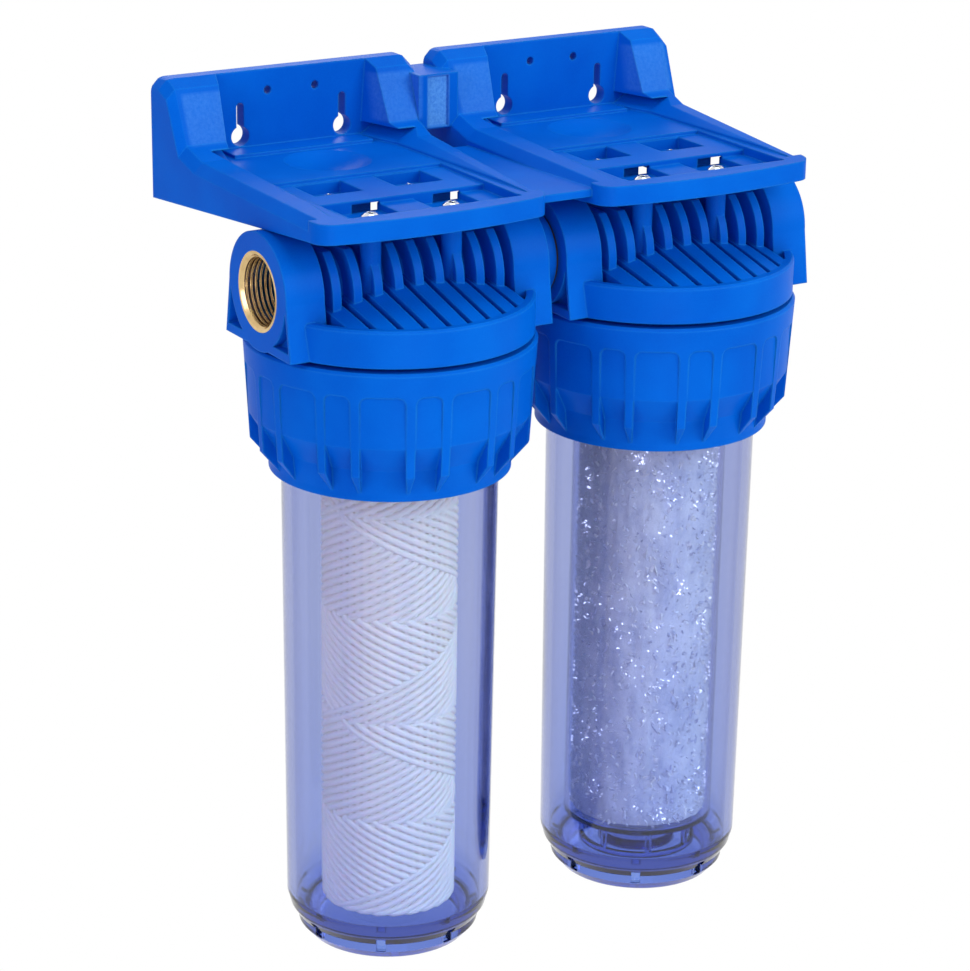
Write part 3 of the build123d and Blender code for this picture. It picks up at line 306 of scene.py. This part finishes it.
def grained(name, dark, light, specular, scale, low, high, strength):
    """A plain material with a fine grain; low and high bound its roughness."""
    s = Shader(name)
    shader = s.principled(Specular_IOR_Level=specular)
    fine = s.noise(s.place(), scale)
    rough = s.remap(fine, 0.3, 0.7, low, high)
    return s.finish(shader, s.mix(fine, dark, light), rough, s.bump(fine, strength, FINE_GRAIN_H))


# Clear plastic of the bowls and the container
CLEAR = rgba(0.975, 0.98, 1.0)
# Darker blue painted as shade on the edges
CLEAR_EDGE_SHADE = rgba(0.66, 0.74, 1.0)
CLEAR_STREAK = rgba(0.62, 0.70, 0.95)
CLEAR_DEEP = rgba(0.66, 0.76, 1.0)
# Dark blue painted as shade on the grazing sides
CLEAR_SIDE_SHADE = rgba(0.16, 0.25, 0.66)
CLEAR_FOOT = rgba(0.20, 0.36, 0.86)
BOWL_BODY = rgba(0.16, 0.27, 0.68)
CONTAINER_BODY = rgba(0.30, 0.36, 0.78)
CLEAR_EDGE_R = 0.0012
CLEAR_WAVE_H = 0.004
DEEP_TOP_Z = -0.215
DEEP_LOW_Z = -0.350
FOOT_TOP_Z = -0.350
FOOT_LOW_Z = -0.370


def clear_plastic(name, body, density, wave, streak, low_tint):
    """Clear plastic that absorbs the body colour, with upright streaks and a deeper tint low down; painted
    shade darkens its edges and the sides seen at a grazing angle.
    """
    s = Shader(name)
    shader = s.principled(Transmission_Weight=1.0, IOR=1.49, Specular_IOR_Level=0.5)
    where = s.place()
    broad = s.noise(s.place((1.0, 1.0, 0.35)), 22.0, 2.0)
    scuffs = s.noise(where, 420.0, 4.0, 0.7)
    streaks = s.noise(s.place((1.0, 1.0, 0.015)), 75.0, 3.0, 0.6)
    normal, painted_edge = s.soft_edges(CLEAR_EDGE_R)
    height = s.add("ShaderNodeSeparateXYZ")
    s.join(where, height.inputs[0])
    deep = s.remap(height.outputs[2], DEEP_TOP_Z, DEEP_LOW_Z, 0.0, low_tint)
    foot = s.remap(height.outputs[2], FOOT_TOP_Z, FOOT_LOW_Z, 0.0, 0.85)
    # Painted shade: at a grazing view the colour goes towards a dark blue, varied by the streaks.
    facing = s.add("ShaderNodeLayerWeight", Blend=0.5)
    side_shade = s.remap(facing.outputs["Facing"], 0.60, 0.93, 0.0, 0.9)
    side_shade = s.math("MULTIPLY", side_shade, s.remap(streaks, 0.36, 0.62, 0.55, 1.15))
    # Painted shade: the edges are mixed towards a darker blue.
    base = s.mix(s.math("MULTIPLY", painted_edge, 0.3), CLEAR, CLEAR_EDGE_SHADE)
    base = s.mix(s.remap(streaks, 0.42, 0.66, 0.0, streak), base, CLEAR_STREAK)
    base = s.mix(deep, base, CLEAR_DEEP)
    base = s.mix(side_shade, base, CLEAR_SIDE_SHADE)
    base = s.mix(foot, base, CLEAR_FOOT)
    absorb = s.add("ShaderNodeVolumeAbsorption", Color=body, Density=density)
    s.join(absorb.outputs[0], s.out.inputs["Volume"])
    rough = s.remap(scuffs, 0.55, 0.8, 0.015, 0.07)
    return s.finish(shader, base, rough, s.bump(broad, wave, CLEAR_WAVE_H, normal))


# Yarn of the wound string
YARN_DARK = rgba(0.86, 0.80, 0.76)
YARN_LIGHT = rgba(0.95, 0.88, 0.82)
YARN_PATCH = rgba(0.89, 0.83, 0.80)
YARN_GLOW = rgba(1.0, 0.86, 0.72)
YARN_SCATTER = 0.003
FIBRE_H = 0.0005
TWIST_H = 0.0006


def yarn(name):
    s = Shader(name)
    # Painted light: the yarn glows a little in a warm colour, which brightens it.
    shader = s.principled(Sheen_Weight=0.35, Sheen_Roughness=0.6, Specular_IOR_Level=0.15,
                          Subsurface_Weight=0.25, Subsurface_Scale=YARN_SCATTER,
                          Emission_Color=YARN_GLOW, Emission_Strength=0.08)
    fibres = s.noise(s.place((60.0, 14.0, 1.0), "UV"), 9.0, 4.0, 0.65)
    twist = s.noise(s.place((420.0, 3.0, 1.0), "UV"), 2.0, 2.0)
    broad = s.noise(s.place(), 45.0, 2.0)
    base = s.mix(s.remap(fibres, 0.3, 0.7, 0.0, 1.0), YARN_DARK, YARN_LIGHT)
    base = s.mix(s.remap(broad, 0.35, 0.7, 0.0, 0.35), base, YARN_PATCH)
    rough = s.remap(fibres, 0.3, 0.7, 0.6, 0.85)
    normal = s.bump(twist, 0.25, TWIST_H, s.bump(fibres, 0.55, FIBRE_H))
    return s.finish(shader, base, rough, normal)


# Crystals: each shard carries one draw from 0 to 1, and the draw sets how bright it is; every shard glows
# faintly as painted light, and the highest draws glow as painted glints
CRYSTAL_DARK = rgba(0.32, 0.35, 0.56)
CRYSTAL_MIDDLE = rgba(0.50, 0.52, 0.68)
CRYSTAL_PALE = rgba(0.96, 0.94, 0.92)
CRYSTAL_GLOW = rgba(0.88, 0.88, 0.95)
FILL_DARK = rgba(0.42, 0.45, 0.62)
FILL_LIGHT = rgba(0.58, 0.60, 0.70)
FILL_PATCH = rgba(0.76, 0.76, 0.82)
FROST_H = 0.0004
SPOT_H = 0.0015
PLAIN_DRAWS = (0.12, 0.93)
DARK_DRAW = 0.02
GLINT_DRAW = 0.98


def crystal(name):
    s = Shader(name)
    shader = s.principled(Transmission_Weight=0.12, IOR=1.5, Specular_IOR_Level=1.0,
                          Emission_Color=CRYSTAL_GLOW)
    parts = s.add("ShaderNodeSeparateXYZ")
    s.join(s.place(source="UV"), parts.inputs[0])
    draw = parts.outputs[0]
    frost = s.noise(s.place(), 900.0, 3.0, 0.6)
    base = s.mix(s.remap(draw, 0.0, PLAIN_DRAWS[0], 0.0, 1.0), CRYSTAL_DARK, CRYSTAL_MIDDLE)
    base = s.mix(s.remap(draw, 0.35, PLAIN_DRAWS[1], 0.0, 1.0), base, CRYSTAL_PALE)
    base = s.mix(s.remap(draw, PLAIN_DRAWS[1], 0.96, 0.0, 1.0), base, WHITE)
    # Painted light: the glint draws glow strongly as painted glints, and all other shards glow faintly.
    glint = s.remap(draw, 0.940, 0.950, 0.05, 1.5)
    glow = s.math("MULTIPLY", glint, s.remap(draw, 0.0, 0.05, 0.2, 1.0))
    s.join(glow, shader.inputs["Emission Strength"])
    rough = s.remap(frost, 0.45, 0.75, 0.04, 0.25)
    return s.finish(shader, base, rough, s.bump(frost, 0.12, FROST_H))


def pale_fill(name):
    """The crystals that lie deeper, as one mottled surface that glows faintly as painted light."""
    s = Shader(name)
    shader = s.principled(Specular_IOR_Level=0.5, Emission_Color=CRYSTAL_GLOW, Emission_Strength=0.05)
    spots = s.noise(s.place(), 260.0, 5.0, 0.7)
    patches = s.noise(s.place((1.0, 1.0, 0.6)), 75.0, 5.0, 0.65)
    base = s.mix(s.remap(spots, 0.35, 0.65, 0.0, 1.0), FILL_DARK, FILL_LIGHT)
    base = s.mix(s.remap(patches, 0.40, 0.60, 0.0, 0.8), base, FILL_PATCH)
    rough = s.remap(spots, 0.3, 0.7, 0.2, 0.5)
    return s.finish(shader, base, rough, s.bump(spots, 0.5, SPOT_H))


MATERIALS = {
    "blue_plastic": blue_plastic("blue_plastic"),
    "brass": metal("brass", BRASS_LIGHT, BRASS_DARK, 0.10, 0.24, 400.0),
    "screw_steel": metal("screw_steel", STEEL_LIGHT, STEEL_DARK, 0.10, 0.24, 60.0),
    "seal_rubber": grained("seal_rubber", RUBBER_DARK, RUBBER_LIGHT, 0.35, 900.0, 0.45, 0.65, 0.25),
    "clear_bowl": clear_plastic("clear_bowl", BOWL_BODY, 115.0, 0.05, 0.35, 0.55),
    "clear_container": clear_plastic("clear_container", CONTAINER_BODY, 60.0, 0.04, 0.0, 0.1),
    "white_core": grained("white_core", CORE_DARK, CORE_LIGHT, 0.3, 700.0, 0.45, 0.6, 0.15),
    "white_string": yarn("white_string"),
    "crystals": crystal("crystals"),
}

# Grained pads of the bracket, with a paler, painted sheen: one on the web, two on the shoulders of each
# unit
WEB_PAD = ((-0.0080, -0.0250, -0.0155), (0.0032, -0.0215, 0.0084))
WEB_PAD_AMOUNT = 0.85
SHOULDER_X = 0.0495
SHOULDER_HALF_W = 0.0105
SHOULDER_FRONT_Y = -0.0300
SHOULDER_BACK_Y = -0.0060
SHOULDER_LOW_Z = -0.0110
SHOULDER_HIGH_Z = 0.0105
SHOULDER_AMOUNT = 0.22


def pad_boxes():
    pads = [(*WEB_PAD, WEB_PAD_AMOUNT)]
    for unit in (-1, 1):
        for sign in (-1, 1):
            middle = unit * AXIS_X + sign * SHOULDER_X
            low = (middle - SHOULDER_HALF_W, SHOULDER_FRONT_Y, SHOULDER_LOW_Z)
            high = (middle + SHOULDER_HALF_W, SHOULDER_BACK_Y, SHOULDER_HIGH_Z)
            pads.append((low, high, SHOULDER_AMOUNT))
    return pads


GRAINED_SHEEN = blue_plastic("blue_plastic_grained_sheen", pad_boxes())
FILL = pale_fill("crystal_fill")

for row in frame["record"]["subparts"]:
    node = nodes[row["node"]]
    look = GRAINED_SHEEN if row["node"] == "wall_bracket" else MATERIALS[row["material_slot"]]
    node.data.materials.clear()
    node.data.materials.append(look)
    if row["material_slot"] in ("clear_bowl", "clear_container"):
        node.visible_shadow = False


# Meshes
def mesh_piece(name, verts, faces, material, smooth=True, uvs=None):
    mesh = bpy.data.meshes.new(name)
    mesh.from_pydata(verts, [], faces)
    mesh.polygons.foreach_set("use_smooth", [smooth] * len(mesh.polygons))
    if uvs is not None:
        layer = mesh.uv_layers.new(name="UVMap")
        layer.data.foreach_set("uv", uvs)
    mesh.materials.append(material)
    mesh.update()
    return link(bpy.data.objects.new(name, mesh))


BODY_RIM = 0.0008
BODY_LEVELS = 24
BODY_SEED = 3


def ring_body(inner, outer, low, high, segments, name, material, wobble=0.0):
    """A tube body with rounded ends, for what lies under a surface layer."""
    rng = np.random.default_rng(BODY_SEED)
    bottom = low + BODY_RIM
    top = high - BODY_RIM
    rows = [(inner, bottom), (inner + BODY_RIM, low), (outer - BODY_RIM, low), (outer, bottom)]
    rows += [(outer, bottom + (top - bottom) * i / BODY_LEVELS) for i in range(1, BODY_LEVELS)]
    rows += [(outer, top), (outer - BODY_RIM, high), (inner + BODY_RIM, high), (inner, top)]
    verts = []
    for r, z in rows:
        bumps = rng.normal(0.0, wobble, segments) if wobble and r == outer else np.zeros(segments)
        for j in range(segments):
            a = 2 * math.pi * j / segments
            verts.append(((r + bumps[j]) * math.cos(a), (r + bumps[j]) * math.sin(a), z))
    faces = []
    count = len(rows)
    for i in range(count):
        for j in range(segments):
            n = (j + 1) % segments
            m = (i + 1) % count
            faces.append((i * segments + j, i * segments + n, m * segments + n, m * segments + j))
    return mesh_piece(name, verts, faces, material)


# Wound string of the left cartridge: one yarn that runs down and up in many strands
STRANDS = 25
TURNS_A_PASS = 2.48
STEPS_A_PASS = 131
YARN_W = 0.0030
YARN_T = 0.0022
YARN_SIDES = 8
YARN_SINK = 0.00175
YARN_LIFT = 0.00055
CROSSING_SHARE = 0.45
BEND_SHARE = 0.018
STRING_END_GAP = 0.0019
UNDER_SINK = 0.0029
UNDER_SEGMENTS = 96


def string_track(low, high, outer):
    """Points of one yarn that runs down and up, always turning the same way."""
    crossings = 2 * TURNS_A_PASS * STRANDS
    points = []
    for k in range(2 * STRANDS):
        t = np.arange(STEPS_A_PASS) / STEPS_A_PASS
        near = np.minimum(t, 1 - t)
        done = np.where(near < BEND_SHARE, near * near / (2 * BEND_SHARE), near - BEND_SHARE / 2)
        travel = done / (1 - BEND_SHARE)
        travel = np.where(t < 0.5, travel, 1 - travel)
        order = k // 2
        if k % 2 == 0:
            down = travel
            q = np.mod(crossings * t, STRANDS)
            over = np.tanh((order - q) / CROSSING_SHARE)
        else:
            down = 1 - travel
            q = np.mod(-crossings * (1 - t), STRANDS)
            over = np.tanh((q - 0.5) / CROSSING_SHARE) * np.tanh((order + 1.5 - q) / CROSSING_SHARE)
        angle = 2 * math.pi * TURNS_A_PASS * (k + t)
        radius = outer - YARN_SINK + YARN_LIFT * over
        z = high + (low - high) * down
        points.append(np.stack([radius * np.cos(angle), radius * np.sin(angle), z], 1))
    return np.concatenate(points)


def unit_rows(vectors):
    return vectors / np.linalg.norm(vectors, axis=1)[:, None]


def yarn_tube(points):
    """A flattened tube along the points, its flat side facing outwards."""
    ahead = np.roll(points, -1, 0)
    behind = np.roll(points, 1, 0)
    ahead[-1] = points[-1]
    behind[0] = points[0]
    along = unit_rows(ahead - behind)
    out = unit_rows(points * np.array([1.0, 1.0, 0.0]))
    across = unit_rows(np.cross(out, along))
    rings = []
    for j in range(YARN_SIDES):
        a = 2 * math.pi * (j + 0.5) / YARN_SIDES
        rings.append(points + across * (YARN_W / 2 * math.cos(a)) + out * (YARN_T / 2 * math.sin(a)))
    verts = np.stack(rings, 1).reshape(-1, 3)
    step = np.linalg.norm(np.diff(points, axis=0), axis=1)
    run = np.concatenate([[0.0], np.cumsum(step)])
    faces = []
    uvs = []
    for i in range(len(points) - 1):
        here = i * YARN_SIDES
        there = here + YARN_SIDES
        for j in range(YARN_SIDES):
            n = (j + 1) % YARN_SIDES
            faces.append((here + j, here + n, there + n, there + j))
            u0, u1 = run[i], run[i + 1]
            v0, v1 = j / YARN_SIDES, (j + 1) / YARN_SIDES
            uvs += [u0, v0, u0, v1, u1, v1, u1, v0]
    last = (len(points) - 1) * YARN_SIDES
    for cap in ([*range(YARN_SIDES)][::-1], [last + j for j in range(YARN_SIDES)]):
        faces.append(tuple(cap))
        uvs += [0.0, 0.0] * YARN_SIDES
    return verts, faces, uvs


def wound_string():
    lo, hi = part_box("left_string_sleeve")
    winding_lo, winding_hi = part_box("left_string_winding")
    outer = (winding_hi.x - winding_lo.x) / 2
    verts, faces, uvs = yarn_tube(string_track(lo.z + STRING_END_GAP, hi.z - STRING_END_GAP, outer))
    verts = verts + np.array(LEFT_AXIS)
    string = mesh_piece("wound_string", verts, faces, MATERIALS["white_string"], True, uvs)
    core_lo, core_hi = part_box("left_cartridge_core")
    core_r = (core_hi.x - core_lo.x) / 2
    under = ring_body(core_r, outer - UNDER_SINK, lo.z, hi.z, UNDER_SEGMENTS, "string_under",
                      MATERIALS["white_string"])
    under.location = LEFT_AXIS
    for piece in (string, under):
        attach(piece, "left_bowl_group")
    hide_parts("left_string_winding", "left_string_sleeve")


wound_string()


# Crystals of the right container: loose shards over a fill, some of them small in nests, most of these
# bright as painted glints
SHAPE_COUNT = 30
SHAPE_SEED = 11
SHAPE_LOW = [0.9, 0.35, 0.2]
SHAPE_HIGH = [1.7, 0.7, 0.5]
SHARD_COUNT = 7000
SHARD_SEED = 5
SHARD_SMALL = 0.0009
SHARD_LARGE = 0.0030
SHARD_SPREAD = 0.0016
SHARD_WALL_GAP = 0.0001
NEST_COUNT = 150
NEST_EVERY = 8
NEST_END_GAP = 0.004
NEST_SMALL = 0.0004
NEST_LARGE = 0.0010
NEST_TURN = 0.085
NEST_RISE = 0.0030
NEST_SHARD_END_GAP = 0.002
NEST_WALL_GAP = 0.0002
NEST_DARK_SHARE = 0.15
FILL_INNER_R = 0.0068
FILL_SINK = 0.0016
FILL_LOW_GAP = 0.001
FILL_HIGH_GAP = 0.003
FILL_SEGMENTS = 120
FILL_WOBBLE = 0.0005


def shard_shapes():
    """A few faceted shards, each a closed hull of a handful of points."""
    rng = np.random.default_rng(SHAPE_SEED)
    shapes = []
    for _ in range(SHAPE_COUNT):
        stretch = rng.uniform(SHAPE_LOW, SHAPE_HIGH)
        cloud = rng.normal(size=(rng.integers(7, 11), 3))
        cloud /= np.linalg.norm(cloud, axis=1)[:, None]
        cloud *= stretch * rng.uniform(0.8, 1.1, (len(cloud), 1))
        bm = bmesh.new()
        for p in cloud:
            bm.verts.new(p)
        result = bmesh.ops.convex_hull(bm, input=bm.verts[:])
        loose = [g for g in result["geom_interior"] if isinstance(g, bmesh.types.BMVert)]
        bmesh.ops.delete(bm, geom=loose, context="VERTS")
        bm.verts.index_update()
        verts = np.array([v.co[:] for v in bm.verts])
        faces = [tuple(v.index for v in f.verts) for f in bm.faces]
        shapes.append((verts, faces))
        bm.free()
    return shapes


def random_turn(rng):
    q = rng.normal(size=4)
    q /= np.linalg.norm(q)
    w, x, y, z = q
    return np.array([
        [1 - 2 * (y * y + z * z), 2 * (x * y - z * w), 2 * (x * z + y * w)],
        [2 * (x * y + z * w), 1 - 2 * (x * x + z * z), 2 * (y * z - x * w)],
        [2 * (x * z - y * w), 2 * (y * z + x * w), 1 - 2 * (x * x + y * y)],
    ])


def shards(low, high, outer):
    """Corners, faces and draws of all shards, round the Z axis between two heights."""
    shapes = shard_shapes()
    rng = np.random.default_rng(SHARD_SEED)
    nest_angles = rng.uniform(0, 2 * math.pi, NEST_COUNT)
    nest_heights = rng.uniform(low + NEST_END_GAP, high - NEST_END_GAP, NEST_COUNT)
    verts = []
    faces = []
    uvs = []
    base = 0
    for i in range(SHARD_COUNT):
        nested = i % NEST_EVERY == 0
        size = rng.uniform(NEST_SMALL, NEST_LARGE) if nested else rng.uniform(SHARD_SMALL, SHARD_LARGE)
        shape, hull = shapes[rng.integers(len(shapes))]
        body = shape @ random_turn(rng).T * size
        reach = np.hypot(body[:, 0], body[:, 1]).max()
        radius = outer - SHARD_WALL_GAP - abs(rng.normal(0.0, SHARD_SPREAD))
        radius = min(radius, outer - SHARD_WALL_GAP - reach)
        angle = rng.uniform(0, 2 * math.pi)
        z = rng.uniform(low - body[:, 2].min(), high - body[:, 2].max())
        draw = rng.uniform(*PLAIN_DRAWS)
        if nested:
            nest = rng.integers(NEST_COUNT)
            angle = nest_angles[nest] + rng.normal(0.0, NEST_TURN)
            z = nest_heights[nest] + rng.normal(0.0, NEST_RISE)
            z = np.clip(z, low + NEST_SHARD_END_GAP, high - NEST_SHARD_END_GAP)
            radius = outer - NEST_WALL_GAP - reach
            draw = rng.choice([DARK_DRAW, GLINT_DRAW], p=[NEST_DARK_SHARE, 1 - NEST_DARK_SHARE])
        verts.append(body + np.array([radius * math.cos(angle), radius * math.sin(angle), z]))
        faces += [tuple(base + v for v in f) for f in hull]
        uvs += [draw, 0.5] * sum(len(f) for f in hull)
        base += len(body)
    return np.concatenate(verts), faces, uvs


def crystals():
    lo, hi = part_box("right_crystal_charge")
    outer = (hi.x - lo.x) / 2
    verts, faces, uvs = shards(lo.z, hi.z, outer)
    verts = verts + np.array(RIGHT_AXIS)
    loose = mesh_piece("crystal_shards", verts, faces, MATERIALS["crystals"], False, uvs)
    fill = ring_body(FILL_INNER_R, outer - FILL_SINK, lo.z + FILL_LOW_GAP, hi.z - FILL_HIGH_GAP,
                     FILL_SEGMENTS, "crystal_fill", FILL, FILL_WOBBLE)
    fill.location = RIGHT_AXIS
    for piece in (loose, fill):
        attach(piece, "right_bowl_group")
    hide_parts("right_crystal_charge")


crystals()

# Floor, background and lamps
FLOOR_Z = -0.62
FLOOR_HALF = 6.0
FLOOR_GREY = rgba(0.92, 0.92, 0.92)
SKY_LIGHT = rgba(0.95, 0.93, 1.0)
SKY_STRENGTH = 0.52

# Name, place, aim, size, power and colour of each lamp
LAMPS = [
    ("key", (0.95, -1.75, 0.75), (0, -0.1, -0.12), (1.2, 1.2), 23.0, (0.95, 1.14, 1.0)),
    ("side", (-1.9, -0.7, 0.6), (0, -0.1, -0.15), (0.9, 1.4), 11.0, (0.95, 0.84, 1.06)),
    ("top", (0.1, -0.3, 1.9), (0, -0.1, 0.0), (1.4, 1.0), 15.0, (0.94, 1.16, 1.02)),
    ("back", (0.5, 1.8, 0.7), (0, -0.05, -0.1), (1.2, 0.8), 7.0, (1.0, 1.0, 1.0)),
    ("low", (-0.55, -1.7, -0.35), (0, -0.1, -0.05), (0.8, 0.6), 4.0, (1.0, 0.95, 1.0)),
]


def make_floor():
    s = Shader("floor")
    lit = s.add("ShaderNodeBsdfDiffuse", Color=FLOOR_GREY)
    seen = s.add("ShaderNodeEmission", Color=WHITE, Strength=1.0)
    s.blend(s.background_share(), lit, seen)
    verts = [(x * FLOOR_HALF, y * FLOOR_HALF, FLOOR_Z) for x, y in ((-1, -1), (1, -1), (1, 1), (-1, 1))]
    mesh_piece("floor", verts, [(0, 1, 2, 3)], s.material, False)


def make_world():
    world = bpy.data.worlds.new("studio")
    bpy.context.scene.world = world
    world.use_nodes = True
    t = Tree(world.node_tree, "ShaderNodeOutputWorld")
    lit = t.add("ShaderNodeBackground", Color=SKY_LIGHT, Strength=SKY_STRENGTH)
    seen = t.add("ShaderNodeBackground", Color=WHITE, Strength=1.0)
    t.blend(t.background_share(), lit, seen)


def soft_lamp(name, place, aim, size, power, color):
    data = bpy.data.lights.new(name, "AREA")
    data.shape = "RECTANGLE"
    data.size, data.size_y = size
    data.energy = power
    data.color = color
    lamp = link(bpy.data.objects.new(name, data))
    lamp.location = place
    lamp.rotation_euler = (Vector(aim) - Vector(place)).to_track_quat("-Z", "Y").to_euler()


make_floor()
make_world()
for lamp in LAMPS:
    soft_lamp(*lamp)
